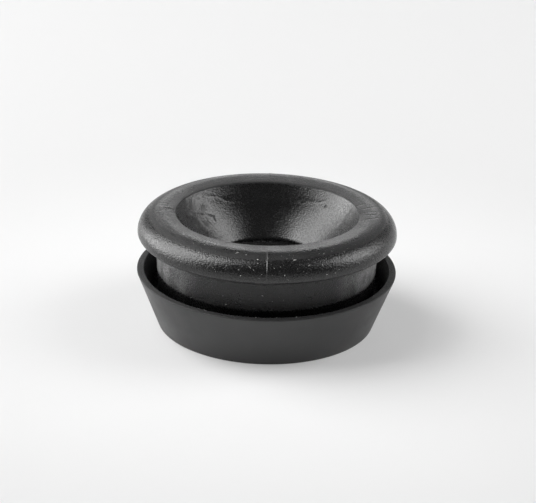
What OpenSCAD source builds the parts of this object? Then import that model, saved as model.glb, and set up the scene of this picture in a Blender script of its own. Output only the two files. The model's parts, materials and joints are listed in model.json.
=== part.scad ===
// Rubber flush-pipe gasket, moulded in one piece: a rolled bead with a flat sealing face, a funnel
// that narrows to a sealing lip, a plain neck, a thin skirt that flares up round the neck and a
// hollow under the funnel. Millimetres, +Z along the bore, origin at the centre of the base.

/* [Body] */
// Height from the base to the sealing face
height = 27.8; // [26:0.1:32]
// Diameter of the base
base_d = 52.4; // [50:0.1:55]
// Diameter of the neck just under the bead
neck_d = 53.4; // [51:0.1:54.5]
// Draft of the neck in degrees, narrowing towards the base
neck_draft = 2.5; // [0:0.5:4]

/* [Bead] */
// Diameter of the bead at its widest line
bead_d = 62; // [59:0.1:66]
// Outer diameter of the flat sealing face
face_d = 50; // [47:0.1:52]
// Radius of the round from the widest line up to the crown
nose_r = 4.3; // [3.8:0.1:4.8]
// How far the top of that round lies below the sealing face
nose_drop = 0.5; // [0.3:0.05:0.8]
// Angle up the round, in degrees, where it eases into the flatter crown
crown_from = 67; // [55:1:70]
// Depth of the bead's underside below the widest line
belly_h = 1.5; // [1:0.1:3]
// Fillet between the neck and the bead's underside
neck_fillet = 0.7; // [0.3:0.1:1.5]

/* [Funnel] */
// Diameter of the funnel's mouth in the sealing face
mouth_d = 42.2; // [38:0.1:45]
// Rounding of the mouth's edge
mouth_r = 0.5; // [0.2:0.1:1]
// Depth from the sealing face to the top of the lip
throat_depth = 12; // [9:0.1:14]
// How far the funnel's wall bows out from a straight cone
funnel_bow = 0.6; // [0.2:0.1:2]

/* [Lip] */
// Diameter of the bore through the lip
bore_d = 25; // [20:0.1:28]
// Height of the lip's straight sealing wall
lip_h = 3; // [2:0.1:5]

/* [Hollow] */
// Diameter of the hollow at the base
hollow_d = 44; // [40:0.1:46]
// Draft of the hollow's wall in degrees, narrowing upwards
hollow_draft = 1; // [0:0.5:3]
// Slope of the funnel's underside in degrees
under_slope = 40; // [30:1:45]
// Radius of the hollow's roof
roof_r = 1.5; // [0.5:0.1:2]

/* [Skirt] */
// Diameter of the skirt at its rim
rim_d = 62.6; // [61:0.1:66]
// Height of the skirt's rim above the base
skirt_h = 13.5; // [11:0.1:15]
// Thickness of the skirt at its rim, measured across
skirt_t = 1.7; // [1.2:0.1:2]
// Height of the floor of the gap between the skirt and the neck
gap_floor = 6.5; // [5:0.1:8]
// Radius of the gap's round floor
gap_r = 0.45; // [0.3:0.05:0.6]
// Rounding of the rim's two edges and the base's two edges
edge_r = 0.25; // [0.1:0.05:0.4]

/* [Hidden] */
facets = 180;    // round the axis
arc_step = 6;    // degrees to a segment, on every round of the section
min_steps = 3;   // segments on the smallest round

neck_r = neck_d / 2;
bead_r = bead_d / 2;
bore_r = bore_d / 2;
nose = [bead_r - nose_r, height - nose_drop - nose_r];
belly_z = nose.y - belly_h;
lip_top = height - throat_depth;
face_edge = [face_d / 2, height];
mouth = [mouth_d / 2, height];
throat = [bore_r, lip_top];
rim_out = [rim_d / 2, skirt_h];
rim_in = rim_out - [skirt_t, 0];

function unit(v) = v / norm(v);
function steps(turn) = max(min_steps, ceil(abs(turn) / arc_step));
function neck_at(z) = neck_r - (belly_z - z) * tan(neck_draft);
function hollow_at(z) = hollow_d / 2 - z * tan(hollow_draft);

// Quarter or arc of an ellipse about c with half axes s, from angle a to angle b
function arc(c, s, a, b) =
    let (n = steps(b - a))
    [for (i = [0:n]) let (t = a + (b - a) * i / n) c + [s.x * cos(t), s.y * sin(t)]];

// Arc from p to q that bows out by h, to the left of the way from p to q
function bowed(p, q, h) =
    let (half = norm(q - p) / 2,
         r = (half * half + h * h) / (2 * h),
         way = unit(q - p),
         c = (p + q) / 2 + (r - h) * [way.y, -way.x],
         a = atan2(p.y - c.y, p.x - c.x))
    arc(c, [r, r], a, a - 2 * asin(half / r));

// Round of radius r in the corner q, between the edges to p and to s
function corner(p, q, s, r) =
    let (u = unit(p - q),
         v = unit(s - q),
         half = acos(u * v) / 2,
         c = q + unit(u + v) * r / sin(half),
         first = q + u * r / tan(half) - c,
         last = q + v * r / tan(half) - c,
         turn = atan2(cross(first, last), first * last),
         a = atan2(first.y, first.x))
    arc(c, [r, r], a, a + turn);

// The gap's floor: a round that touches the neck and the line down from the skirt's inner rim
gap_z = gap_floor + gap_r;
gap_c = [neck_at(gap_z + gap_r * sin(neck_draft)) + gap_r * cos(neck_draft), gap_z];
gap_to_rim = rim_in - gap_c;
gap_from = atan2(gap_to_rim.y, gap_to_rim.x) - acos(gap_r / norm(gap_to_rim));
gap_to = -180 - neck_draft;
gap_start = gap_c + gap_r * [cos(gap_from), sin(gap_from)];

// The bead's crown: a flatter arc that leaves the nose's round at crown_from without a break
// and ends on the edge of the sealing face
crown_u = [cos(crown_from), sin(crown_from)];
crown_w = face_edge - nose;
crown_r = (crown_w * crown_w + nose_r * nose_r - 2 * nose_r * (crown_w * crown_u))
        / (2 * (nose_r - crown_w * crown_u));
crown_c = nose - (crown_r - nose_r) * crown_u;
crown_to = atan2(face_edge.y - crown_c.y, face_edge.x - crown_c.x);

// The hollow's roof: the corner where the funnel's underside meets the hollow's wall
lip_foot = throat - [0, lip_h];
roof_z = (hollow_d / 2 - bore_r + lip_foot.y / tan(under_slope))
       / (1 / tan(under_slope) + tan(hollow_draft));
roof = [hollow_at(roof_z), roof_z];

// The bead's underside: a quarter ellipse from the neck's fillet out to the widest line
belly_c = [neck_r + neck_fillet, nose.y];
belly_s = [bead_r - belly_c.x, belly_h];

funnel = bowed(mouth, throat, funnel_bow);

module gasket_section() {
    base_in = [hollow_d / 2, 0];
    base_out = [base_d / 2, 0];
    polygon(concat(
        corner(base_in, base_out, rim_out, edge_r),
        corner(base_out, rim_out, rim_in, edge_r),
        corner(rim_out, rim_in, gap_start, edge_r),
        arc(gap_c, [gap_r, gap_r], gap_from, gap_to),
        corner([neck_at(gap_z), gap_z], [neck_r, belly_z], [belly_c.x, belly_z], neck_fillet),
        arc(belly_c, belly_s, -90, 0),
        arc(nose, [nose_r, nose_r], 0, crown_from),
        arc(crown_c, [crown_r, crown_r], crown_from, crown_to),
        corner(face_edge, mouth, funnel[1], mouth_r),
        [for (p = funnel) if (p.y < height - mouth_r) p],
        [lip_foot],
        corner(lip_foot, roof, base_in, roof_r),
        corner(roof, base_in, base_out, edge_r)
    ));
}

module gasket() {
    color([0.13, 0.13, 0.13])
        rotate_extrude($fn = facets)
            gasket_section();
}

gasket();
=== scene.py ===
# %% [markdown]
# # A moulded rubber gasket
#
# This lesson dresses one part: a black rubber gasket that seals a flush pipe in a pan inlet. On the
# bench it is a single moulding. A rolled bead with a flat ring on top runs into a funnel, the funnel
# narrows to a lip, and a thin skirt flares up round the neck like a collar.
#
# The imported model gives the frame: sizes, place and the body that everything rides on. Blender adds
# what a mould, a store shelf and a few fingers leave on rubber: a seam, soft waves, wrinkles, a
# satin grain and specks of dust.

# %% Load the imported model
import json
import math

import bpy
from mathutils import Matrix, Vector
from mathutils.bvhtree import BVHTree


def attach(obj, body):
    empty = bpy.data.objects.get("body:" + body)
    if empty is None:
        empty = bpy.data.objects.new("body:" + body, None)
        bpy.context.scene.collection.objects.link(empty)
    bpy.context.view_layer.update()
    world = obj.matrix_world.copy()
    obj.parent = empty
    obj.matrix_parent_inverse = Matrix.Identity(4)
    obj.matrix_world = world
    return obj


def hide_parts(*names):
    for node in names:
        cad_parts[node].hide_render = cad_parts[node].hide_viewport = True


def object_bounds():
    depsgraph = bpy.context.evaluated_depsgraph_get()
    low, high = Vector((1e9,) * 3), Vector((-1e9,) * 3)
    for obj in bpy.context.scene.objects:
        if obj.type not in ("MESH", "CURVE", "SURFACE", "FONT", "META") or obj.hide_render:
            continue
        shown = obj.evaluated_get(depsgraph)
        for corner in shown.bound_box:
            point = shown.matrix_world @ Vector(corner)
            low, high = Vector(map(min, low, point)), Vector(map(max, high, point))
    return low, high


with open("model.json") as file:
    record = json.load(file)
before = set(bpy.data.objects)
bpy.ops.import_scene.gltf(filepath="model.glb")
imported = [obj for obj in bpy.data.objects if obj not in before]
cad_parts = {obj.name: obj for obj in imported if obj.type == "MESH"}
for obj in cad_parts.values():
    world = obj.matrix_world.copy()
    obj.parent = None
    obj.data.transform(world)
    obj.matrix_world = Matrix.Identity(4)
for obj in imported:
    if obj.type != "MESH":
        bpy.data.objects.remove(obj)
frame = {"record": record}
cad_low, cad_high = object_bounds()
MM = 0.001
print("CAD box in mm:", [round(side / MM, 1) for side in cad_high - cad_low])

# %% [markdown]
# ## The camera
#
# A product shot is taken from a little way off with a long lens, so that round things stay round.
# The camera stands about 44 cm from the gasket, 23 degrees above the table, and leans by a degree
# as a hand-set tripod does. It could be framed with lens shift. Here it is aimed at the part's
# middle and then turned by a fraction of a degree, as a photographer would do.

# %% A new object in the scene


def new_object(name, data):
    made = bpy.data.objects.new(name, data)
    bpy.context.collection.objects.link(made)
    return made


# %% Place the camera
IMAGE_W, IMAGE_H = 536, 503
SENSOR = 36.0
CAMERA_FAR = 440 * MM
CAMERA_UP = math.radians(23.08)
CAMERA_LEAN = math.radians(1.36)
PIXELS_PER_MM = 4.14
AIM_PIXEL = (266.5, 265.6)
AIM = Vector((0, 0, 13.7 * MM))
CLIP_NEAR, CLIP_FAR = 0.01, 20


def make_camera():
    """A camera whose view puts the aim point at AIM_PIXEL."""
    focal_pixels = PIXELS_PER_MM * CAMERA_FAR / MM
    data = bpy.data.cameras.new("camera")
    data.sensor_width = SENSOR
    data.lens = focal_pixels * SENSOR / IMAGE_W
    data.clip_start, data.clip_end = CLIP_NEAR, CLIP_FAR
    made = new_object("camera", data)
    back = Vector((0, -math.cos(CAMERA_UP), math.sin(CAMERA_UP)))
    turn_right = math.atan((AIM_PIXEL[0] - IMAGE_W / 2) / focal_pixels)
    turn_up = math.atan((AIM_PIXEL[1] - IMAGE_H / 2) / focal_pixels)
    turn = back.to_track_quat("Z", "Y").to_matrix()
    turn = turn @ Matrix.Rotation(CAMERA_LEAN, 3, "Z")
    turn = turn @ Matrix.Rotation(turn_right, 3, "Y") @ Matrix.Rotation(turn_up, 3, "X")
    made.matrix_world = Matrix.Translation(AIM + back * CAMERA_FAR) @ turn.to_4x4()
    bpy.context.scene.camera = made
    return made


camera = make_camera()
print("lens in mm:", round(camera.data.lens, 1))

# %% [markdown]
# ## Node trees as plain Python
#
# Both the shape and the finish below are node trees. Written socket by socket they are hard to
# read, so one small class wraps an output socket. Python's operators on it add Math nodes, also
# when the number stands on the left, as in `1 - mask`. Every other node comes from `Net.add`,
# which takes the node's type, its settings and its inputs.

# %% A socket with operators


class Value:
    """An output socket. Arithmetic on it adds Math nodes to its tree."""

    def __init__(self, net, socket):
        self.net = net
        self.socket = socket

    def out(self, name):
        """Another output of the same node."""
        return Value(self.net, self.socket.node.outputs[name])

    def __add__(self, other):
        return self.net.math("ADD", self, other)

    def __radd__(self, other):
        return self.net.math("ADD", other, self)

    def __sub__(self, other):
        return self.net.math("SUBTRACT", self, other)

    def __rsub__(self, other):
        return self.net.math("SUBTRACT", other, self)

    def __mul__(self, other):
        return self.net.math("MULTIPLY", self, other)

    def __rmul__(self, other):
        return self.net.math("MULTIPLY", other, self)

    def __truediv__(self, other):
        return self.net.math("DIVIDE", self, other)

    def __rtruediv__(self, other):
        return self.net.math("DIVIDE", other, self)

    def __neg__(self):
        return self.net.math("MULTIPLY", self, -1)


# %% A tree that adds nodes


class Net:
    """A node tree, and the one way that nodes are added to it."""

    def __init__(self, tree):
        self.tree = tree

    def add(self, kind, settings=None, inputs=None, out=0):
        """A new node with its settings, and a value or a link for each named input."""
        node = self.tree.nodes.new(kind)
        for name, value in (settings or {}).items():
            setattr(node, name, value)
        for key, value in (inputs or {}).items():
            if isinstance(value, Value):
                self.tree.links.new(value.socket, node.inputs[key])
            else:
                node.inputs[key].default_value = value
        return Value(self, node.outputs[out]) if len(node.outputs) else node

    def math(self, operation, a, b=None, c=None):
        given = {i: v for i, v in enumerate((a, b, c)) if v is not None}
        return self.add("ShaderNodeMath", {"operation": operation}, given)

    def vector(self, operation, a, b, out=0):
        return self.add("ShaderNodeVectorMath", {"operation": operation}, {0: a, 1: b}, out)

    def scale(self, vector, by):
        return self.add("ShaderNodeVectorMath", {"operation": "SCALE"}, {0: vector, "Scale": by})

    def split(self, vector):
        """The three numbers of a vector."""
        parts = self.add("ShaderNodeSeparateXYZ", None, {0: vector})
        return parts, parts.out("Y"), parts.out("Z")

    def join(self, x, y, z):
        return self.add("ShaderNodeCombineXYZ", None, {0: x, 1: y, 2: z})

    def length(self, x, y):
        return self.math("POWER", x * x + y * y, 0.5)

    def ease(self, value, low, high):
        """0 up to low, 1 from high, smooth between. With low above high it runs down."""
        return self.add("ShaderNodeMapRange", {"interpolation_type": "SMOOTHSTEP"},
                        {"Value": value, "From Min": low, "From Max": high})

    def slope(self, value, low, high):
        """The same for a length, with low and high in mm."""
        return self.ease(value, low * MM, high * MM)

    def hill(self, value, middle, half):
        """1 at the middle, falling to about a third at half to either side."""
        off = (value - middle) / half
        return self.math("EXPONENT", -(off * off))

    def noise(self, where, scale, detail=2.0, rough=0.5, bend=0.0):
        """Soft noise from 0 to 1 that is about 1 / scale across."""
        return self.add("ShaderNodeTexNoise", None,
                        {"Vector": where, "Scale": scale, "Detail": detail,
                         "Roughness": rough, "Distortion": bend})


# %% [markdown]
# ## The section
#
# A gasket like this is drawn as one section and turned round an axis, and its mould is cut the
# same way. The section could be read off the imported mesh, but then it would be as coarse as that
# mesh. So it is worked out again, in millimetres, from a few sizes, with arcs for its rounds. The
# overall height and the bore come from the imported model, so the dressed part cannot drift from
# the solid under it.

# %% Sizes of the section
mounts = {mount["name"]: mount for mount in frame["record"]["mounts"]}
HEIGHT = cad_high.z / MM

# The lip, which grips the pipe.
BORE_R = mounts["pipe_bore"]["dims"]["r_mm"]
LIP_H = mounts["pipe_bore"]["dims"]["length_mm"]
LIP_TOP = mounts["pipe_bore"]["pos_m"][2] / MM + LIP_H / 2

# The base and the neck.
BASE_R = 26.2
NECK_R = 26.7
NECK_DRAFT = math.radians(2.5)
NECK_FILLET = 1.5

# The bead: its round nose, the flatter crown above and the shallow belly below.
BEAD_R = 31.0
NOSE_R = 4.3
NOSE_DROP = 0.5
CROWN_FROM = math.radians(67)
BELLY_H = 1.5
FACE_R = 25.0

# The mouth, the funnel and the hollow under it.
MOUTH_R = 21.3
MOUTH_ROUND = 0.45
MOUTH_DIP = 0.3
FUNNEL_BOW = 0.6
HOLLOW_R = 22.0
HOLLOW_DRAFT = math.radians(1)
UNDER_SLOPE = math.radians(40)
ROOF_ROUND = 1.5

# The skirt and the gap behind it.
RIM_R = 31.3
SKIRT_H = 13.5
SKIRT_T = 1.7
GAP_FLOOR = 6.5
GAP_R = 0.45
EDGE_R = 0.25

NOSE_Z = HEIGHT - NOSE_DROP - NOSE_R
BELLY_Z = NOSE_Z - BELLY_H
MOUTH_Z = HEIGHT - MOUTH_DIP
SKIRT_SLOPE = (RIM_R - BASE_R) / SKIRT_H
print("height, bore and bead in mm:", round(HEIGHT, 2), 2 * BORE_R, 2 * BEAD_R)

# %% Arcs and rounded corners
ARC_STEP = math.radians(4)
CORNER_STEP = math.radians(9)
SMALL_STEP = math.radians(15)
BASE_STEP = math.radians(20)
FUNNEL_STEP = math.radians(1.5)


def arc(centre, half_axes, start, end, step=ARC_STEP):
    """Points of an ellipse's arc, from the start angle to the end angle."""
    count = max(3, math.ceil(abs(end - start) / step))
    turns = [start + (end - start) * i / count for i in range(count + 1)]
    return [Vector((centre.x + half_axes[0] * math.cos(t), centre.y + half_axes[1] * math.sin(t)))
            for t in turns]


def angle_of(v):
    return math.atan2(v.y, v.x)


def corner(before, at, after, radius, step=CORNER_STEP):
    """The round that replaces a sharp corner."""
    u, v = (before - at).normalized(), (after - at).normalized()
    half = math.acos(u.dot(v)) / 2
    centre = at + (u + v).normalized() * radius / math.sin(half)
    first = at + u * radius / math.tan(half) - centre
    last = at + v * radius / math.tan(half) - centre
    turn = math.atan2(first.x * last.y - first.y * last.x, first.dot(last))
    return arc(centre, (radius, radius), angle_of(first), angle_of(first) + turn, step)


def bowed(start, end, bow):
    """An arc from start to end that bows to the left of the way."""
    half = (end - start).length / 2
    radius = (half * half + bow * bow) / (2 * bow)
    way = (end - start).normalized()
    centre = (start + end) / 2 + (radius - bow) * Vector((way.y, -way.x))
    first = angle_of(start - centre)
    return arc(centre, (radius, radius), first, first - 2 * math.asin(half / radius), FUNNEL_STEP)


# %% The skirt, from the base out to its rim and down into the gap
BASE_IN, BASE_OUT = Vector((HOLLOW_R, 0)), Vector((BASE_R, 0))
FACE_EDGE = Vector((FACE_R, HEIGHT))
GAP_Z = GAP_FLOOR + GAP_R


def neck_at(z):
    return NECK_R - (BELLY_Z - z) * math.tan(NECK_DRAFT)


def skirt_points():
    rim_out, rim_in = Vector((RIM_R, SKIRT_H)), Vector((RIM_R - SKIRT_T, SKIRT_H))
    gap_x = neck_at(GAP_Z + GAP_R * math.sin(NECK_DRAFT)) + GAP_R * math.cos(NECK_DRAFT)
    gap = Vector((gap_x, GAP_Z))
    to_rim = rim_in - gap
    gap_from = angle_of(to_rim) - math.acos(GAP_R / to_rim.length)
    gap_start = gap + GAP_R * Vector((math.cos(gap_from), math.sin(gap_from)))
    return (
        corner(BASE_IN, BASE_OUT, rim_out, EDGE_R, BASE_STEP)
        + corner(BASE_OUT, rim_out, rim_in, EDGE_R, SMALL_STEP)
        + corner(rim_out, rim_in, gap_start, EDGE_R, SMALL_STEP)
        + arc(gap, (GAP_R, GAP_R), gap_from, -math.pi - NECK_DRAFT, SMALL_STEP)
    )


print("points on the skirt:", len(skirt_points()))

# %% The neck and the bead, up to the edge of the face


def bead_points():
    nose = Vector((BEAD_R - NOSE_R, NOSE_Z))
    belly = Vector((NECK_R + NECK_FILLET, NOSE_Z))
    u = Vector((math.cos(CROWN_FROM), math.sin(CROWN_FROM)))
    w = FACE_EDGE - nose
    crown_r = (w.dot(w) + NOSE_R ** 2 - 2 * NOSE_R * w.dot(u)) / (2 * (NOSE_R - w.dot(u)))
    crown = nose - (crown_r - NOSE_R) * u
    return (
        corner(Vector((neck_at(GAP_Z), GAP_Z)), Vector((NECK_R, BELLY_Z)),
               Vector((belly.x, BELLY_Z)), NECK_FILLET)
        + arc(belly, (BEAD_R - belly.x, BELLY_H), -math.pi / 2, 0)[1:]
        + arc(nose, (NOSE_R, NOSE_R), 0, CROWN_FROM)[1:]
        + arc(crown, (crown_r, crown_r), CROWN_FROM, angle_of(FACE_EDGE - crown))[1:]
    )


print("points on the neck and bead:", len(bead_points()))

# %% The mouth, the funnel, the lip and the hollow, back to the base


def funnel_points():
    mouth, throat = Vector((MOUTH_R, MOUTH_Z)), Vector((BORE_R, LIP_TOP))
    lip_foot = throat - Vector((0, LIP_H))
    reach = 1 / math.tan(UNDER_SLOPE)
    roof_z = (HOLLOW_R - BORE_R + lip_foot.y * reach) / (reach + math.tan(HOLLOW_DRAFT))
    roof = Vector((HOLLOW_R - roof_z * math.tan(HOLLOW_DRAFT), roof_z))
    funnel = bowed(mouth, throat, FUNNEL_BOW)
    return (
        corner(FACE_EDGE, mouth, funnel[1], MOUTH_ROUND)
        + [p for p in funnel if p.y < mouth.y - MOUTH_ROUND]
        + [lip_foot]
        + corner(lip_foot, roof, BASE_IN, ROOF_ROUND)
        + corner(roof, BASE_IN, BASE_OUT, EDGE_R, BASE_STEP)
    )


print("points on the funnel and hollow:", len(funnel_points()))

# %% The whole outline, with long straight stretches cut up
LONGEST_STEP = 0.9


def with_steps(points, longest):
    """The same closed outline, with no step longer than the longest."""
    out = []
    for a, b in zip(points, points[1:] + points[:1]):
        pieces = max(1, math.ceil((b - a).length / longest))
        out += [a.lerp(b, i / pieces) for i in range(pieces)]
    return out


outline = with_steps(skirt_points() + bead_points() + funnel_points(), LONGEST_STEP)
print("points in the outline:", len(outline))

# %% [markdown]
# ## Turning the section
#
# The body could be spun with a modifier, but then every mark on it would be hand work. Geometry
# Nodes can do both: a grid of columns and rows is wrapped round the axis, each row reading its
# place from the outline, and later steps move the points. The columns crowd together at the front,
# back and sides, where the mould's seam and the face's wrinkles need them.

# %% The inputs of the tree that turns the section
TREE_INPUTS = (
    ("Columns", "NodeSocketInt", 432),
    ("Crowding", "NodeSocketFloat", 0.85),
    ("Seam Height", "NodeSocketFloat", 0.16 * MM),
    ("Seam Width", "NodeSocketFloat", 0.11 * MM),
    ("Seam Place", "NodeSocketFloat", 0.2 * MM),
    ("Wave Height", "NodeSocketFloat", 0.16 * MM),
    ("Belly Drop", "NodeSocketFloat", 0.28 * MM),
    ("Oval Mouth", "NodeSocketFloat", 0.7 * MM),
    ("Flow Depth", "NodeSocketFloat", 0.05 * MM),
    ("Wrinkle Depth", "NodeSocketFloat", 0.07 * MM),
    ("Seed", "NodeSocketFloat", 4.0),
    ("Material", "NodeSocketMaterial", None),
)
print("inputs of the tree:", len(TREE_INPUTS))

# %% How every geometry tree starts and ends


def new_geometry_tree(name, inputs):
    """An empty tree with named inputs, and a Value for each of them."""
    tree = bpy.data.node_groups.new(name, "GeometryNodeTree")
    tree.interface.new_socket("Geometry", in_out="INPUT", socket_type="NodeSocketGeometry")
    tree.interface.new_socket("Geometry", in_out="OUTPUT", socket_type="NodeSocketGeometry")
    for title, kind, _ in inputs:
        tree.interface.new_socket(title, in_out="INPUT", socket_type=kind)
    net = Net(tree)
    given = net.add("NodeGroupInput")
    names = ["Geometry"] + [title for title, _, _ in inputs]
    return net, {title: given.out(title) for title in names}


def finish_tree(net, geometry, material):
    """Real geometry with its material."""
    real = net.add("GeometryNodeRealizeInstances", None, {0: geometry})
    done = net.add("GeometryNodeSetMaterial", None, {"Geometry": real, "Material": material})
    net.add("NodeGroupOutput", None, {0: done})


def point_places(net):
    """Where each point is, its three numbers, and its distance from the axis."""
    place = net.add("GeometryNodeInputPosition")
    x, y, z = net.split(place)
    return place, x, y, z, net.length(x, y)


# %% A grid wrapped round the axis
CROWDED_PLACES = 4
WELD = 0.001 * MM


def wrap_round_axis(net, given):
    """The plain turned body: a grid whose rows are the outline's points."""
    rows = net.add("GeometryNodeAttributeDomainSize", {"component": "MESH"},
                   {0: given["Geometry"]}, "Point Count")
    grid = net.add("GeometryNodeMeshGrid", None,
                   {"Size X": 1.0, "Size Y": 1.0,
                    "Vertices X": given["Columns"] + 1, "Vertices Y": rows + 1})
    across, along, _ = net.split(net.add("GeometryNodeInputPosition"))
    row = net.math("ROUND", (along + 0.5) * rows)
    row = net.math("WRAP", row, rows, 0)
    spot = net.add("GeometryNodeSampleIndex", {"data_type": "FLOAT_VECTOR", "domain": "POINT"},
                   {"Geometry": given["Geometry"], "Value": net.add("GeometryNodeInputPosition"),
                    "Index": row})
    radius, _, height = net.split(spot)
    turn = (across + 0.5) * math.tau
    bunch = net.math("SINE", turn * CROWDED_PLACES) / CROWDED_PLACES
    turn = turn - given["Crowding"] * bunch
    around = net.join(radius * net.math("SINE", turn), -(radius * net.math("COSINE", turn)), height)
    wrapped = net.add("GeometryNodeSetPosition", None, {"Geometry": grid, "Position": around})
    return net.add("GeometryNodeMergeByDistance", None, {"Geometry": wrapped, "Distance": WELD})


# %% [markdown]
# ## What the mould left
#
# All of it is under a millimetre:
# - the mould's two halves left a fine raised seam on the bead and a faint line on the neck,
# - rubber shrinks unevenly, so no surface is quite true, and the mouth ends up a little oval,
# - two flows of rubber met in the funnel and left a wavy line,
# - the face is puckered where it was gripped on its way out of the mould,
# - the bead's underside hangs lower in places, most of all at the seam.
#
# Such marks could be sculpted or painted. Here each one is a sum of slopes, hills and noise that
# moves the points along their normals, so its place follows the section's sizes. The underside
# and the oval mouth move their points straight down or outwards instead.

# %% The seam
SEAM_TAIL = 8
SEAM_ON_NECK = 0.3
SEAM_ON_FACE = 0.2
SEAM_LOST_BEHIND = 0.6


def raised_seam(net, given):
    """Steep on one side, with a long soft tail on the other."""
    _, x, y, z, radius = point_places(net)
    on_bead = net.slope(z, NOSE_Z - 0.4, NOSE_Z) * net.slope(radius, MOUTH_R + 0.1, MOUTH_R + 0.5)
    past_face = net.slope(radius, FACE_R - 1.5, FACE_R)
    on_bead = on_bead * (SEAM_ON_FACE + (1 - SEAM_ON_FACE) * past_face)
    on_neck = net.slope(z, SKIRT_H + 0.5, SKIRT_H + 1.5) * net.slope(z, BELLY_Z - 0.7, BELLY_Z - 1.1)
    on_neck = on_neck * net.slope(radius, NECK_R - 0.7, NECK_R - 0.5)
    across = x - given["Seam Place"]
    steep = net.hill(net.math("MINIMUM", across, 0.0), 0.0, given["Seam Width"])
    gentle = net.hill(net.math("MAXIMUM", across, 0.0), 0.0, given["Seam Width"] * SEAM_TAIL)
    seam = steep * gentle * given["Seam Height"] * (on_bead - SEAM_ON_NECK * on_neck)
    return seam * (1 - SEAM_LOST_BEHIND * net.slope(y, 0, 5))


# %% Waves, and the flow line in the funnel
RIPPLES = 0.12
FLOW_Z = 24.4
FLOW_DRIFT = 4.5 * MM
FLOW_HALF = 0.22 * MM


def soft_waves(net, given):
    place, _, _, z, radius = point_places(net)
    seeded = net.vector("ADD", place, net.join(given["Seed"], 0.0, 0.0))
    waves = net.noise(seeded, 45.0, 2.0, 0.45) - 0.5
    ripples = net.noise(seeded, 210.0, 2.0, 0.5) - 0.5
    outside = net.slope(radius, 20, 23) * net.slope(z, 1, 4)
    return (waves + ripples * RIPPLES) * given["Wave Height"] * outside


def flow_line(net, given):
    """A low step with a groove along it, where two flows of rubber met."""
    place, _, _, z, radius = point_places(net)
    seeded = net.vector("ADD", place, net.join(given["Seed"], 0.0, 0.0))
    in_funnel = net.slope(radius, MOUTH_R - 0.4, MOUTH_R - 0.9)
    in_funnel = in_funnel * net.slope(z, LIP_TOP + 1.2, LIP_TOP + 2.2)
    level = z + (net.noise(seeded, 95.0, 3.0, 0.6) - 0.5) * FLOW_DRIFT
    groove = net.hill(level, FLOW_Z * MM, FLOW_HALF)
    step = net.slope(level, FLOW_Z - 0.3, FLOW_Z + 0.3) - 0.5
    return given["Flow Depth"] * in_funnel * (step - groove)


# %% Wrinkles on the face
WRINKLE_BEARING, WRINKLE_HALF = 0.02, 0.24
SPOKES, FINE_SPOKES = (21.0, 160.0, 3.0), (75.0, 90.0, 5.0)
CREASE_SHARE = 0.6


def face_wrinkles(net, given):
    """Puckers that run outwards like spokes, at the left and right only."""
    _, x, y, z, radius = point_places(net)
    on_face = net.slope(radius, MOUTH_R - 0.4, MOUTH_R + 0.5)
    on_face = on_face * net.slope(radius, FACE_R + 1.6, FACE_R - 0.2)
    on_face = on_face * net.slope(z, HEIGHT - 0.6, HEIGHT - 0.3)
    bearing = net.math("ARCTAN2", y, net.math("ABSOLUTE", x))
    side = net.math("SIGN", x)
    around, outwards, apart = SPOKES
    spoke = net.join(bearing * around, radius * outwards, side * apart + given["Seed"])
    pucker = net.noise(spoke, 1.0, 3.0, 0.55, 0.6)
    crease = net.ease(net.math("ABSOLUTE", pucker - 0.5), 0.05, 0.0)
    around, outwards, apart = FINE_SPOKES
    spoke = net.join(bearing * around, radius * outwards, side * apart + given["Seed"])
    fine = net.noise(spoke, 1.0, 2.0, 0.5, 0.3) - 0.5
    near_side = net.hill(bearing, WRINKLE_BEARING, WRINKLE_HALF)
    return on_face * near_side * given["Wrinkle Depth"] * (fine - crease * CREASE_SHARE)


# %% The sagging belly and the oval mouth
SAG_AT_SEAM, SAG_HALF = 0.7, 2.2 * MM


def sagging_belly(net, given):
    """How far the bead's underside hangs down, as a vector. It hangs most at the seam."""
    _, x, y, z, radius = point_places(net)
    under = net.slope(z, BELLY_Z - 1.4, BELLY_Z - 0.6) * net.slope(z, NOSE_Z - 0.1, NOSE_Z - 0.8)
    under = under * net.slope(radius, NECK_R - 0.4, NECK_R - 0.2)
    ring = net.join(x * 90.0 + given["Seed"], y * 90.0, 0.0)
    uneven = net.noise(ring, 1.0, 2.0, 0.5) - 0.42
    hang = uneven + net.hill(x, given["Seam Place"], SAG_HALF) * SAG_AT_SEAM
    return net.join(0.0, 0.0, -(hang * under * given["Belly Drop"]))


def oval_mouth(net, given):
    """How far the mouth is pushed out at the sides, and in at front and back, as a vector."""
    _, x, y, z, radius = point_places(net)
    radius = net.math("MAXIMUM", radius, 1 * MM)
    forward = y / radius
    amount = given["Oval Mouth"] * (1 - forward * forward * 2)
    amount = amount * net.slope(radius, 16, 20.6) * net.slope(radius, FACE_R + 0.2, MOUTH_R + 0.5)
    amount = amount * net.slope(z, 18, 25)
    return net.join(x / radius * amount, y / radius * amount, 0.0)


# %% The whole tree


def gasket_tree():
    net, given = new_geometry_tree("turn_the_section", TREE_INPUTS)
    body = wrap_round_axis(net, given)
    rise = raised_seam(net, given) + soft_waves(net, given)
    rise = rise + flow_line(net, given) + face_wrinkles(net, given)
    lift = net.scale(net.add("GeometryNodeInputNormal"), rise)
    for offset in (lift, sagging_belly(net, given), oval_mouth(net, given)):
        body = net.add("GeometryNodeSetPosition", None, {"Geometry": body, "Offset": offset})
    smooth = net.add("GeometryNodeSetShadeSmooth", None, {"Geometry": body})
    finish_tree(net, smooth, given["Material"])
    print("nodes in the gasket's tree:", len(net.tree.nodes))
    return net.tree


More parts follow.
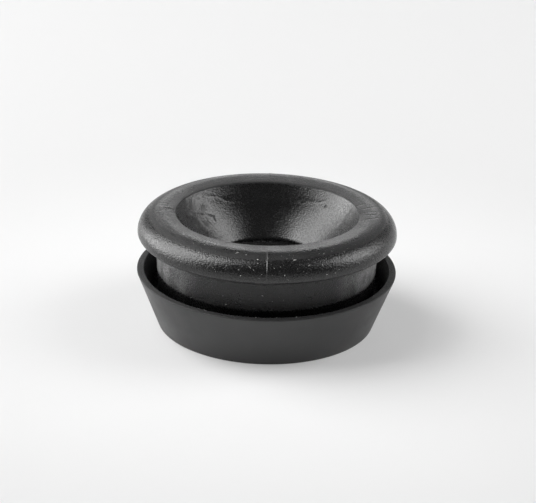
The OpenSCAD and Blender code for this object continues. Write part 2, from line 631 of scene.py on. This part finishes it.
# %% [markdown]
# ## The rubber
#
# Carbon black makes rubber almost as dark as soot, so nearly all that the eye sees of it is
# reflection: a satin sheen that breaks up into grain where the mould was bead-blasted, and runs
# smooth where it was turned. A flat black with one gloss would look like plastic. The recipe here
# is a very dark base, a slightly high index of refraction, and a roughness and a relief that
# change with the zone and drift in soft patches.
#
# All the patterns read Object coordinates, in metres, so they sit still on the part from any side.

# %% Colours of the rubber
RUBBER_DARK = (0.0035, 0.0035, 0.0037, 1)
RUBBER_WORN = (0.008, 0.008, 0.0083, 1)
SKIRT_GREY = (0.021, 0.021, 0.0215, 1)
# Pale grey for a painted sheen on the neck's left and right sides, where the side boxes light it.
NECK_PAINTED_SHEEN = (0.270, 0.270, 0.270, 1)
RIM_GREY = (0.016, 0.016, 0.0165, 1)
RUBBER_IOR = 1.62
print("darkest rubber reflects", RUBBER_DARK[0])

# %% Zones of the rubber


def rubber_zones(net, where):
    """Places on the part, and masks for the faces that were finished differently."""
    x, y, z = net.split(where)
    radius = net.length(x, y)
    skirt = net.slope(z, SKIRT_H + 0.3, SKIRT_H)
    skirt = skirt * net.slope(radius - z * SKIRT_SLOPE, BASE_R - 1.0, BASE_R - 0.6)
    rim = net.slope(z, SKIRT_H - 0.4, SKIRT_H - 0.1) * net.slope(z, SKIRT_H + 0.5, SKIRT_H + 0.2)
    rim = rim * net.slope(radius, RIM_R - 2.8, RIM_R - 2.3)
    funnel = net.slope(radius, MOUTH_R + 1.4, MOUTH_R + 1.1)
    funnel = funnel * net.slope(z, MOUTH_Z - 0.08, MOUTH_Z - 0.3)
    funnel = funnel * net.slope(z, LIP_TOP - 1.8, LIP_TOP - 0.8)
    face = net.slope(z, HEIGHT - 0.8, HEIGHT) * net.slope(radius, MOUTH_R - 0.9, MOUTH_R + 0.3)
    neck = net.slope(z, SKIRT_H - 0.3, SKIRT_H + 0.5) * net.slope(z, BELLY_Z + 0.5, BELLY_Z - 0.1)
    neck = neck * (1 - funnel) * net.slope(radius, NECK_R + 1.7, NECK_R + 0.5)
    crown = net.slope(z, HEIGHT - 1.0, HEIGHT - 0.4) * (1 - funnel)
    belly = net.slope(z, NOSE_Z, NOSE_Z - 0.8) * net.slope(radius, NECK_R + 0.8, NECK_R + 1.8)
    belly = belly * (1 - skirt)
    deep = funnel * net.slope(z, 24, 17)
    return {"x": x, "y": y, "z": z, "radius": radius, "skirt": skirt, "rim": rim, "face": face,
            "funnel": funnel, "neck": neck, "crown": crown, "belly": belly, "deep": deep,
            "blasted": 1 - skirt}


# %% How every material starts and ends


def mix_colour(net, share, first, second):
    return net.add("ShaderNodeMix", {"data_type": "RGBA"}, {0: share, 6: first, 7: second}, 2)


def empty_net(owner):
    """The emptied node tree of a material or a world."""
    owner.use_nodes = True
    owner.node_tree.nodes.clear()
    return Net(owner.node_tree)


def new_material(name):
    """A material, its empty tree, and Object coordinates to start from."""
    material = bpy.data.materials.new(name)
    net = empty_net(material)
    return material, net, net.add("ShaderNodeTexCoord", None, None, "Object")


def finish_surface(net, height, inputs):
    """A Principled shader whose relief comes from a height in metres."""
    normal = net.add("ShaderNodeBump", None, {"Strength": 1.0, "Distance": 1.0, "Height": height})
    shader = net.add("ShaderNodeBsdfPrincipled", None, {**inputs, "Normal": normal})
    net.add("ShaderNodeOutputMaterial", None, {"Surface": shader})


# %% Patterns in the rubber, from the blasted grain up to soft patches
PATTERNS = {
    "grain": (2900.0, 1.0, 0.5),
    "coarse": (800.0, 2.0, 0.5),
    "mottle": (240.0, 4.0, 0.6),
    "patch": (70.0, 3.0, 0.55),
}
STREAK_STRETCH = (38.0, 60.0, 40.0)
RING_AROUND, RING_OUT = 2.0, 1900.0


def rubber_patterns(net, where, zone):
    """Noise from 0 to 1: even all over, drawn out down the neck, and in rings on the crown."""
    pattern = {name: net.noise(where, *how) for name, how in PATTERNS.items()}
    bearing = net.math("ARCTAN2", zone["x"], net.math("ABSOLUTE", zone["y"]))
    around, down, out = STREAK_STRETCH
    drawn = net.join(bearing * around, zone["z"] * down, zone["radius"] * out)
    pattern["streak"] = net.noise(drawn, 3.0, 3.0, 0.6)
    ringed = net.join(bearing * RING_AROUND, zone["radius"] * RING_OUT, 0.0)
    pattern["rings"] = net.noise(ringed, 1.0, 2.0, 0.6)
    return pattern


# %% Colour: black, a little worn, dusty on the skirt with painted shade at its foot, and a painted sheen on the neck's sides
WORN_SHARE = 0.6
NECK_DUSTY = 0.4


def rubber_colour(net, zone, pattern):
    worn = net.ease(pattern["mottle"], 0.5, 0.75) * 0.5
    worn = worn + net.ease(pattern["grain"], 0.55, 0.8) * 0.5 * zone["blasted"]
    colour = mix_colour(net, worn * WORN_SHARE, RUBBER_DARK, RUBBER_WORN)
    dust_and_painted_shade = (zone["skirt"] + NECK_DUSTY * zone["neck"]) * (0.85 + 0.5 * (pattern["patch"] - 0.5))
    # The skirt's grey fades towards the base: painted shade where the skirt meets the floor.
    dust_and_painted_shade = dust_and_painted_shade * (0.55 + 0.45 * net.slope(zone["z"], 0, 7))
    colour = mix_colour(net, dust_and_painted_shade, colour, SKIRT_GREY)
    # Painted sheen: the neck's left and right sides are painted pale where the side boxes catch them,
    # broken up by mottle and grain.
    painted_sheen = net.slope(net.math("ABSOLUTE", zone["x"]), 14, 26) * zone["neck"]
    painted_sheen = painted_sheen * (0.35 + 0.9 * net.ease(pattern["mottle"], 0.35, 0.65))
    painted_sheen = painted_sheen * (0.4 + 0.6 * net.ease(pattern["grain"], 0.4, 0.6))
    painted_sheen = painted_sheen * net.slope(zone["z"], SKIRT_H - 1.0, SKIRT_H + 1.5)
    colour = mix_colour(net, painted_sheen, colour, NECK_PAINTED_SHEEN)
    return mix_colour(net, zone["rim"], colour, RIM_GREY)


# %% Roughness: one base, and what each pattern and zone adds to it
ROUGH_BASE = 0.24
ROUGH_BY_PATTERN = {"mottle": 0.2, "patch": 0.26}
ROUGH_BY_ZONE = {"skirt": 0.19, "rim": 0.25, "neck": 0.14, "deep": 0.02, "belly": 0.25}
ROUGH_PITS = 0.16
ROUGH_CROWN = 0.4
CROWN_FACE, CROWN_BEHIND = 0.7, 0.6
ROUGH_RINGS = 0.16
ROUGH_DULL = 0.22


def rubber_roughness(net, zone, pattern, dull):
    rough = ROUGH_BASE
    for name, share in ROUGH_BY_PATTERN.items():
        rough = rough + share * (pattern[name] - 0.5)
    for name, share in ROUGH_BY_ZONE.items():
        rough = rough + share * zone[name]
    pitted = net.ease(pattern["grain"], 0.38, 0.62) - 0.5
    behind = net.slope(zone["y"], 4, 20)
    crown = zone["crown"] * (1 - CROWN_FACE * zone["face"]) * (1 + CROWN_BEHIND * behind)
    rough = rough + ROUGH_PITS * pitted * zone["blasted"] + ROUGH_CROWN * crown
    rough = rough + ROUGH_RINGS * (pattern["rings"] - 0.5) * zone["crown"]
    return rough + ROUGH_DULL * dull


# %% Relief: heights in mm, and how much of the grain each zone shows
GRAIN_HIGH, COARSE_HIGH = 0.31, 0.03
MOTTLE_HIGH, STREAK_HIGH, RINGS_HIGH = 0.013, 0.02, 0.03
RELIEF_TURNED, RELIEF_RIM = 0.04, 0.3
RELIEF_BLASTED, RELIEF_NECK, RELIEF_FUNNEL, RELIEF_DEEP = 0.3, 0.55, 0.02, 0.1
DULL_DEEP = 0.09


def rubber_height(net, zone, pattern):
    """Height in metres from grain, mottling, streaks and rings."""
    bumps = (pattern["grain"] - 0.5) * GRAIN_HIGH * MM + (pattern["coarse"] - 0.5) * COARSE_HIGH * MM
    relief = RELIEF_BLASTED + RELIEF_NECK * zone["neck"]
    relief = relief - RELIEF_FUNNEL * zone["funnel"] - RELIEF_DEEP * zone["deep"]
    relief = RELIEF_TURNED + RELIEF_RIM * zone["rim"] + zone["blasted"] * relief
    mottled = (pattern["mottle"] - 0.5) * MOTTLE_HIGH * MM * (0.1 + 0.9 * zone["blasted"])
    streaked = (pattern["streak"] - 0.5) * STREAK_HIGH * MM * zone["neck"]
    ringed = (pattern["rings"] - 0.5) * RINGS_HIGH * MM * zone["crown"]
    return bumps * relief + mottled + streaked + ringed


# %% [markdown]
# ## Creases, cracks and dull spots
#
# Some marks belong in one place: a few deep creases in the face, small cracks and faint flow
# lines in the funnel, and duller spots where it was touched. A painted picture could carry them,
# but it would blur close up. A line or a spot that the shader measures from stays sharp.
#
# A place is a bearing in degrees from the front, with plus to the right, a distance from the axis
# and a height in mm. It is snapped to the nearest point of the outline.

# %% From a place on the rubber to a mask


def on_rubber(bearing, out, z):
    """The point of the turned body nearest to a place."""
    near = min(outline, key=lambda p: (p.x - out) ** 2 + (p.y - z) ** 2)
    spot = Vector((out, z))
    i = outline.index(near)
    for a, b in ((outline[i - 1], near), (near, outline[(i + 1) % len(outline)])):
        share = max(0.0, min(1.0, (spot - a).dot(b - a) / (b - a).length_squared))
        found = a + (b - a) * share
        if (found - spot).length < (near - spot).length:
            near = found
    turn = math.radians(bearing)
    return Vector((near.x * math.sin(turn), -near.x * math.cos(turn), near.y)) * MM


def from_segment(net, where, start, end):
    """Distance in metres from a place to the straight line between two points."""
    along = end - start
    reach = net.vector("SUBTRACT", where, tuple(start))
    share = net.vector("DOT_PRODUCT", reach, tuple(along / along.length_squared), "Value")
    share = net.math("MINIMUM", net.math("MAXIMUM", share, 0.0), 1.0)
    return net.vector("DISTANCE", reach, net.scale(tuple(along), share), "Value")


def marks(net, where, lines, width):
    """1 on the lines and 0 away from them. A line is a list of places."""
    nearest = None
    for line in lines:
        points = [on_rubber(*place) for place in line]
        for start, end in zip(points, points[1:]):
            far = from_segment(net, where, start, end)
            nearest = far if nearest is None else net.math("MINIMUM", nearest, far)
    return net.slope(nearest, width, 0)


# %% Spots, and how much the marks waver
SPOT_SOFT = 1.15
SWAY_SCALE, SWAY = 500.0, 1.2 * MM


def spots(net, where, places):
    """1 in the middle of each spot and 0 outside it. A spot is a place and its radius in mm."""
    total = None
    for bearing, out, z, size in places:
        far = net.vector("DISTANCE", where, tuple(on_rubber(bearing, out, z)), "Value")
        spot = net.slope(far, size * SPOT_SOFT, 0)
        total = spot if total is None else net.math("MAXIMUM", total, spot)
    return total


def swayed(net, where):
    """The same coordinates, pushed about a little."""
    push = net.vector("SUBTRACT", net.noise(where, SWAY_SCALE, 3.0).out("Color"), (0.5, 0.5, 0.5))
    return net.vector("ADD", where, net.scale(push, SWAY))


# %% Where the creases, cracks and dull spots are
CREASES = (
    ((91.2, 21.5, 28), (92.0, 23.5, 28), (93.5, 26.9, 27.5)),
    ((78.7, 21.9, 28), (81.5, 24.0, 28), (85.2, 26.3, 27.7)),
    ((97.5, 22.3, 28), (99.2, 24.6, 28), (101.9, 27.0, 27.5)),
    ((104.3, 22.0, 28), (105.5, 23.6, 28)), ((88.0, 24.2, 28), (88.6, 26.0, 27.7)),
    ((-97.2, 27.0, 27.5), (-95.6, 25.6, 27.8), (-94.3, 24.2, 28)),
    ((-85.0, 21.8, 28), (-85.8, 23.2, 28)), ((-87.1, 25.0, 27.9), (-87.6, 26.6, 27.6)),
    ((-98.9, 24.4, 28), (-99.4, 26.2, 27.7)), ((-90.5, 22.3, 28), (-91.4, 24.2, 28)),
)
CRACKS = (
    ((-117, 19.1, 24.2), (-121, 18.5, 23.1), (-127, 18.0, 22.3), (-132, 17.5, 21.5)),
    ((-123.5, 18.0, 22.3), (-123, 17.4, 21.3), (-124, 16.9, 20.4)),
    ((-130, 17.7, 21.8), (-131, 17.0, 20.5)), ((-118.5, 18.8, 23.7), (-114, 18.5, 23.2)),
)
FLOW_LINES = (
    ((-121, 21.0, 27.6), (-127, 20.8, 27.1), (-135, 20.1, 25.8), (-141, 19.8, 25.3),
     (-149, 19.0, 24.0), (-158, 18.6, 23.3), (-168, 18.6, 23.3)),
    ((158, 19.0, 24.1), (146, 19.1, 24.2), (140, 19.5, 24.9), (134, 20.0, 25.7)),
)
DULL_SPOTS = (
    (-111.5, 20.9, 27.2, 1.5), (-116, 20.0, 25.3, 1.9), (-107, 19.7, 24.6, 1.5),
    (-112, 17.6, 21.3, 1.4), (-103, 17.7, 21.4, 1.2), (-114.5, 16.7, 20.1, 1.3),
    (-120, 17.2, 20.9, 1.2), (-125, 18.9, 23.9, 1.3),
    (109, 20.4, 26.6, 1.3), (108.5, 19.4, 24.6, 1.3), (107.5, 18.2, 22.6, 1.2),
    (133, 19.3, 24.0, 0.5),
)

# Lines, their width and their depth in mm.
MARKS = ((CREASES, 0.36, 0.27), (CRACKS, 0.26, 0.12), (FLOW_LINES, 0.6, 0.045))
print("marked lines:", sum(len(lines) for lines, _, _ in MARKS), "dull spots:", len(DULL_SPOTS))

# %% The rubber itself


def rubber_material():
    material, net, where = new_material("moulded_rubber")
    zone = rubber_zones(net, where)
    pattern = rubber_patterns(net, where, zone)
    uneven = swayed(net, where)
    dull = spots(net, uneven, DULL_SPOTS)
    height = rubber_height(net, zone, pattern) - dull * DULL_DEEP * MM
    for lines, width, depth in MARKS:
        height = height - marks(net, uneven, lines, width) * depth * MM
    finish_surface(net, height, {"Base Color": rubber_colour(net, zone, pattern),
                                 "Roughness": rubber_roughness(net, zone, pattern, dull),
                                 "IOR": RUBBER_IOR})
    return material


rubber = rubber_material()
print("nodes in the rubber:", len(rubber.node_tree.nodes))

# %% [markdown]
# ## The dressed gasket
#
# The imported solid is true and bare, and the turned body takes its place. The tree could stay on
# the object as a live modifier, but then its result would be made again for every use. So it is
# run once and kept as a plain mesh.

# %% Run a tree once and keep its result


def section_object(points):
    """The outline as a loop of points and edges in the XZ plane."""
    count = len(points)
    mesh = bpy.data.meshes.new("section")
    mesh.from_pydata([(p.x * MM, 0, p.y * MM) for p in points],
                     [(i, (i + 1) % count) for i in range(count)], [])
    return new_object("section", mesh)


def run_tree(host, tree, values, name):
    """Run a tree on an object once, and return the result as a plain mesh object."""
    modifier = host.modifiers.new("tree", "NODES")
    modifier.node_group = tree
    for item in tree.interface.items_tree:
        if item.in_out == "INPUT" and item.name in values:
            modifier[item.identifier] = values[item.name]
    bpy.context.view_layer.update()
    graph = bpy.context.evaluated_depsgraph_get()
    mesh = bpy.data.meshes.new_from_object(host.evaluated_get(graph), depsgraph=graph)
    mesh.name = name
    piece = new_object(name, mesh)
    host.modifiers.remove(modifier)
    return piece


def values_for(inputs, **given):
    """The tree's own values, with the ones that are given in their place."""
    values = {title: default for title, _, default in inputs if default is not None}
    return {**values, **given}


# %% Build the gasket and let it stand for the CAD node
section = section_object(outline)
gasket = run_tree(section, gasket_tree(), values_for(TREE_INPUTS, Material=rubber), "gasket_body")
bpy.data.objects.remove(section)
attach(gasket, "root")
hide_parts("gasket")
print("gasket:", len(gasket.data.vertices), "points,", len(gasket.data.polygons), "faces")

# %% [markdown]
# ## Dust and lint
#
# Black rubber shows every crumb. Fine dust settles on the bead as hundreds of specks, and a few
# larger flakes and fibres cling where fingers have been. Specks in a texture would have no edge to
# catch the light, so each one is a low chip of its own.
#
# The fine ones are scattered by Geometry Nodes: points are spread over the bead, the face and the
# neck with a fixed seed, and each carries a tiny chip that lies flat on the rubber. The larger
# ones have their own places, and each is snapped to the nearest rubber.

# %% One flake, used for all of them
FLAKE_HIGH = 0.25
FLAKE_TOP = 0.8
FLAKE_REACH = (1.0, 0.72, 0.95, 0.8, 1.0, 0.66, 0.88)


def flake_mesh(name):
    """A low chip with a crooked outline, one unit across and lying in the XY plane."""
    count = len(FLAKE_REACH)
    rim = []
    for i, reach in enumerate(FLAKE_REACH):
        t = math.tau * i / count
        rim.append(Vector((math.cos(t), math.sin(t), 0)) * reach / 2)
    low = [(p.x, p.y, -FLAKE_HIGH) for p in rim]
    high = [(p.x * FLAKE_TOP, p.y * FLAKE_TOP, FLAKE_HIGH) for p in rim]
    sides = [(i, (i + 1) % count, count + (i + 1) % count, count + i) for i in range(count)]
    faces = sides + [tuple(range(count, 2 * count)), tuple(reversed(range(count)))]
    mesh = bpy.data.meshes.new(name)
    mesh.from_pydata(low + high, [], faces)
    return mesh


# %% Pale lint: matt, and a little greyer in places
DUST_DARK = (0.30, 0.30, 0.29, 1)
DUST_PALE = (0.62, 0.62, 0.6, 1)
FUZZ = 0.02 * MM


def dust_material():
    material, net, where = new_material("pale_dust")
    tone = net.noise(where, 1800.0, 2.0, 0.5)
    colour = mix_colour(net, net.ease(tone, 0.35, 0.65), DUST_DARK, DUST_PALE)
    fuzz = (net.noise(where, 6000.0, 2.0, 0.5) - 0.5) * FUZZ
    finish_surface(net, fuzz, {"Base Color": colour, "Roughness": 0.8 + 0.15 * (tone - 0.5)})
    return material


dust = dust_material()
print("nodes in the dust:", len(dust.node_tree.nodes))

# %% A tree that scatters fine dust
DUST_INPUTS = (
    ("Flake", "NodeSocketObject", None),
    ("Per Square Metre", "NodeSocketFloat", 900000.0),
    ("Smallest", "NodeSocketFloat", 0.04 * MM),
    ("Largest", "NodeSocketFloat", 0.2 * MM),
    ("Seed", "NodeSocketInt", 11),
    ("Material", "NodeSocketMaterial", None),
)
FACE_SHARE, NECK_SHARE = 0.12, 0.25
CHIP_STRETCH = (0.8, 2.4)
CHIP_THICK = 0.3


def dust_share(net):
    """How much dust lies at each point, from 0 to 1."""
    place, _, _, z, radius = point_places(net)
    on_bead = net.slope(z, BELLY_Z, NOSE_Z + 1) * net.slope(radius, FACE_R - 0.4, FACE_R + 0.6)
    on_face = net.slope(z, HEIGHT - 0.4, HEIGHT - 0.2) * FACE_SHARE
    on_neck = net.slope(z, SKIRT_H + 0.5, SKIRT_H + 1.5)
    on_neck = on_neck * net.slope(radius, NECK_R - 0.7, NECK_R - 0.5) * NECK_SHARE
    drifts = net.ease(net.noise(place, 110.0, 2.0, 0.6), 0.38, 0.68)
    return net.math("MAXIMUM", net.math("MAXIMUM", on_bead, on_face), on_neck) * drifts


def random_value(net, low, high, seed):
    return net.add("FunctionNodeRandomValue", {"data_type": "FLOAT"},
                   {2: low, 3: high, "Seed": seed}, 1)


def dust_tree():
    """Chips on random points. Most are small, because the draw is cubed."""
    net, given = new_geometry_tree("scatter_dust", DUST_INPUTS)
    spread = net.add("GeometryNodeDistributePointsOnFaces", {"distribute_method": "RANDOM"},
                     {"Mesh": given["Geometry"], "Seed": given["Seed"],
                      "Density": dust_share(net) * given["Per Square Metre"]})
    draw = random_value(net, 0.0, 1.0, given["Seed"])
    size = given["Smallest"] + (given["Largest"] - given["Smallest"]) * draw * draw * draw
    stretch = random_value(net, *CHIP_STRETCH, given["Seed"] + 1)
    spin = random_value(net, 0.0, math.tau, given["Seed"] + 2)
    spin = net.add("FunctionNodeEulerToRotation", None, {0: net.join(0.0, 0.0, spin)})
    turned = net.add("FunctionNodeRotateRotation", {"rotation_space": "LOCAL"},
                     {0: spread.out("Rotation"), 1: spin})
    flake = net.add("GeometryNodeObjectInfo", None, {0: given["Flake"]}, "Geometry")
    chips = net.add("GeometryNodeInstanceOnPoints", None,
                    {"Points": spread, "Instance": flake, "Rotation": turned,
                     "Scale": net.join(size * stretch, size, size * CHIP_THICK)})
    finish_tree(net, chips, given["Material"])
    return net.tree


# %% Scatter the fine dust
chip = new_object("chip", flake_mesh("chip"))
fine_dust = run_tree(gasket, dust_tree(), values_for(DUST_INPUTS, Flake=chip, Material=dust),
                     "fine_dust")
bpy.data.objects.remove(chip)
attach(fine_dust, "root")
print("fine dust:", len(fine_dust.data.polygons), "faces")

# %% Flakes and fibres in their own places
# A place as above, then length and width in mm, and the turn in degrees from level.
LINT = (
    (12.9, 28.3, 27.0, 1.15, 0.50, 12), (-14.7, 26.5, 27.6, 1.00, 0.26, 42),
    (-10.0, 26.8, 27.5, 0.42, 0.26, 80), (-4.1, 28.1, 27.1, 0.50, 0.32, 10),
    (-8.1, 28.9, 26.7, 0.26, 0.22, 30), (-7.3, 29.9, 25.9, 1.10, 0.16, -45),
    (-5.6, 30.3, 25.4, 0.45, 0.18, -40), (-11.8, 30.4, 25.2, 0.30, 0.26, 0),
    (-10.8, 30.9, 24.0, 0.34, 0.26, 60), (18.7, 29.8, 26.0, 0.42, 0.32, 20),
    (19.4, 28.6, 26.9, 0.40, 0.15, -50), (6.1, 29.7, 26.0, 0.26, 0.22, 0),
    (24.9, 30.0, 25.8, 0.30, 0.26, 70), (28.2, 27.4, 27.3, 0.62, 0.16, 40),
    (25.8, 27.2, 27.4, 0.50, 0.14, 35), (26.3, 30.9, 23.7, 0.60, 0.20, 0),
    (-3.0, 30.9, 23.7, 0.62, 0.18, 0), (7.8, 30.8, 24.4, 0.40, 0.30, 80),
    (-23.2, 30.6, 24.9, 0.26, 0.22, 0), (7.1, 26.8, 27.5, 0.40, 0.24, -40),
    (-1.6, 26.5, 17.5, 0.60, 0.28, -25), (-21.7, 26.5, 16.4, 0.34, 0.20, 0),
    (-20.1, 26.4, 14.4, 0.70, 0.20, 0), (-27.9, 29.7, 13.5, 0.80, 0.16, -20),
    (-31.0, 29.6, 13.5, 0.60, 0.16, 0), (-60.3, 28.8, 26.7, 0.26, 0.24, 0),
    (-64.9, 23.3, 27.8, 0.36, 0.26, 0), (-40.4, 30.4, 25.2, 0.26, 0.24, 0),
    (-44.0, 30.2, 25.4, 0.22, 0.20, 0), (33.3, 29.4, 26.3, 0.30, 0.24, 30),
    (67.9, 26.5, 17.2, 0.30, 0.24, 0), (-4.1, 29.7, 13.6, 0.34, 0.24, 0),
    (4.9, 29.7, 13.6, 0.30, 0.22, 0), (13.7, 29.7, 13.6, 0.34, 0.26, 0),
    (-88.0, 26.9, 27.4, 0.22, 0.20, 0), (150.0, 28.9, 26.7, 0.80, 0.20, 30),
    (196.0, 30.4, 25.2, 0.40, 0.30, 0), (110.0, 29.6, 26.2, 0.50, 0.18, -30),
    (238.0, 29.1, 26.5, 0.45, 0.25, 55), (172.0, 26.5, 17.0, 0.50, 0.22, 10),
)
LINT_THICK = 0.05
print("flakes and fibres:", len(LINT))

# %% Lay them on the rubber


def lying_flat(surface, bearing, out, z, turn):
    """The nearest rubber to a place, and three directions there: along, over and out of it."""
    a = math.radians(bearing)
    guess = Vector((out * math.sin(a), -out * math.cos(a), z)) * MM
    spot, normal, _, _ = surface.find_nearest(guess)
    level = Vector((math.cos(a), math.sin(a), 0))
    level = (level - normal * level.dot(normal)).normalized()
    t = math.radians(turn)
    along = level * math.cos(t) + normal.cross(level) * math.sin(t)
    return spot, along, normal.cross(along), normal


def make_lint():
    """All the larger flakes as one mesh, each lying on the nearest rubber."""
    surface = BVHTree.FromObject(gasket, bpy.context.evaluated_depsgraph_get())
    flake = flake_mesh("lint_chip")
    points, faces = [], []
    for bearing, out, z, length, width, turn in LINT:
        spot, along, over, normal = lying_flat(surface, bearing, out, z, turn)
        start = len(points)
        for v in flake.vertices:
            points.append(spot + (along * v.co.x * length + over * v.co.y * width
                                  + normal * v.co.z * LINT_THICK / FLAKE_HIGH / 2) * MM)
        faces += [tuple(start + i for i in face.vertices) for face in flake.polygons]
    bpy.data.meshes.remove(flake)
    mesh = bpy.data.meshes.new("lint")
    mesh.from_pydata(points, [], faces)
    mesh.materials.append(dust)
    return new_object("lint", mesh)


lint = make_lint()
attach(lint, "root")
print("lint:", len(lint.data.polygons), "faces")

# %% [markdown]
# ## The table
#
# A plain pale sweep stands in for the studio: a round floor that curves up into a low wall, all in
# one sheet, so that every side of the part has the same quiet ground. A flat plane would end in a
# horizon, and a backdrop would suit only one view.
#
# The paper's colour is painted paler near the part and darker further off, most of all in front:
# painted light that lifts the part's shade on the near paper. What the camera and the rubber's
# reflections see of it is partly its own glow, which keeps the shadow light. A Light Path node
# leaves the glow out of all other light. The sheet lies a hair under the base, so that the two
# don't share a plane.

# %% Sizes and tones of the sweep
FLOOR_COLOUR = (0.827, 0.827, 0.827, 1)
FLOOR_FAR = (0.665, 0.665, 0.665, 1)
GLOW_COLOUR = (0.93, 0.93, 0.93, 1)
GLOW_SHARE = 0.25
FLOOR_Z = -0.01 * MM
FLOOR_R = 1.9
FLOOR_RINGS = (0.1, 0.3, 0.6)
SWEEP_R = 0.5
SWEEP_STEPS = 12
SIDES = 96
print("floor reaches", FLOOR_R, "m to each side")

# %% Floor and wall in one sheet


def sweep_mesh():
    """A round floor that curves up into a wall. Its faces look inwards and up."""
    turns = [math.pi / 2 * i / SWEEP_STEPS for i in range(SWEEP_STEPS + 1)]
    line = [(FLOOR_R * share, 0.0) for share in FLOOR_RINGS]
    line += [(FLOOR_R + SWEEP_R * math.sin(t), SWEEP_R * (1 - math.cos(t))) for t in turns]
    points = [(0, 0, FLOOR_Z)]
    for radius, z in line:
        for i in range(SIDES):
            t = math.tau * i / SIDES
            points.append((radius * math.sin(t), -radius * math.cos(t), z + FLOOR_Z))
    faces = [(0, 1 + i, 1 + (i + 1) % SIDES) for i in range(SIDES)]
    for ring in range(len(line) - 1):
        low, high = 1 + ring * SIDES, 1 + (ring + 1) * SIDES
        for i in range(SIDES):
            j = (i + 1) % SIDES
            faces.append((low + i, high + i, high + j, low + j))
    mesh = bpy.data.meshes.new("sweep")
    mesh.from_pydata(points, [], faces)
    mesh.polygons.foreach_set("use_smooth", [True] * len(faces))
    return mesh


def paper_material():
    """Matt paper with painted light, paler near the part and darker further off, with a share of glow
    for what the camera sees.
    """
    material, net, where = new_material("pale_sweep")
    tone = net.noise(where, 3.0, 2.0, 0.5)
    x, y, _ = net.split(where)
    # Painted light: the share of the far colour, 0 by the part and growing further off, most of all
    # in front.
    painted_falloff = net.slope(net.length(x, y), 30, 130)
    painted_falloff = painted_falloff * (0.72 + 0.28 * net.slope(y, 20, -80)) - 0.08 * tone
    paper = net.add("ShaderNodeBsdfPrincipled", None,
                    {"Base Color": mix_colour(net, painted_falloff, FLOOR_COLOUR, FLOOR_FAR),
                     "Roughness": 0.9, "Specular IOR Level": 0.1})
    glow = net.add("ShaderNodeEmission", None, {"Color": GLOW_COLOUR, "Strength": 1.0})
    ray = net.add("ShaderNodeLightPath", None, None, "Is Camera Ray")
    seen = ray + ray.out("Is Glossy Ray") + ray.out("Is Transmission Ray")
    seen = net.math("MINIMUM", seen, 1.0) * GLOW_SHARE
    lit = net.add("ShaderNodeMixShader", None, {0: seen, 1: paper, 2: glow})
    net.add("ShaderNodeOutputMaterial", None, {"Surface": lit})
    return material


sweep = new_object("sweep", sweep_mesh())
sweep.data.materials.append(paper_material())
print("sweep:", len(sweep.data.polygons), "faces")

# %% [markdown]
# ## The light
#
# Black rubber shows its light as reflections, and small lamps would leave hard dots on it. Six
# soft boxes stand round the part: three on the left (the strongest, with a low one and a high one
# beside it), a smaller one on the right, a flat one behind for the bead's far edge, and a very
# weak one in front. So the bead's front stays dark while its sides catch the light. The room is
# dim, a little brighter near the horizon.

# %% Soft boxes
# Bearing and rise in degrees, distance, width and height in metres, and radiance.
SOFT_BOXES = {
    "box_left": (-102, 34, 1.3, 1.35, 1.2, 4.3),
    "box_left_low": (-118, 8, 1.3, 0.8, 0.36, 3.0),
    "box_left_high": (-98, 64, 1.5, 0.8, 0.6, 3.4),
    "box_right": (99, 35, 1.3, 0.85, 1.0, 3.5),
    "box_back": (180, 11, 1.7, 0.9, 0.34, 3.4),
    "box_front": (0, 7, 1.7, 1.5, 0.3, 0.3),
}


def soft_box(name, bearing, rise, distance, width, tall, radiance):
    """A soft box that faces the part."""
    light = bpy.data.lights.new(name, "AREA")
    light.shape = "RECTANGLE"
    light.size, light.size_y = width, tall
    light.energy = radiance * math.pi * width * tall
    box = new_object(name, light)
    box.visible_camera = False
    a, e = math.radians(bearing), math.radians(rise)
    out = Vector((math.sin(a) * math.cos(e), -math.cos(a) * math.cos(e), math.sin(e)))
    turn = out.to_track_quat("Z", "Y").to_matrix().to_4x4()
    box.matrix_world = Matrix.Translation(out * distance) @ turn


for name, values in SOFT_BOXES.items():
    soft_box(name, *values)
print("soft boxes:", len(SOFT_BOXES))

# %% The room
ROOM_LOW, ROOM_HIGH = 0.16, 0.13


def make_room(low, high):
    """A world that is brighter near the horizon than overhead."""
    world = bpy.data.worlds.new("room")
    net = empty_net(world)
    direction = net.add("ShaderNodeTexCoord", None, None, "Generated")
    _, _, up = net.split(direction)
    level = low + (high - low) * net.ease(up, 0.05, 0.6)
    sky = net.add("ShaderNodeBackground", None, {"Color": (1, 1, 1, 1), "Strength": level})
    net.add("ShaderNodeOutputWorld", None, {"Surface": sky})
    bpy.context.scene.world = world


make_room(ROOM_LOW, ROOM_HIGH)
bpy.context.scene.view_settings.view_transform = "Standard"
print("room light, low and high:", ROOM_LOW, ROOM_HIGH)
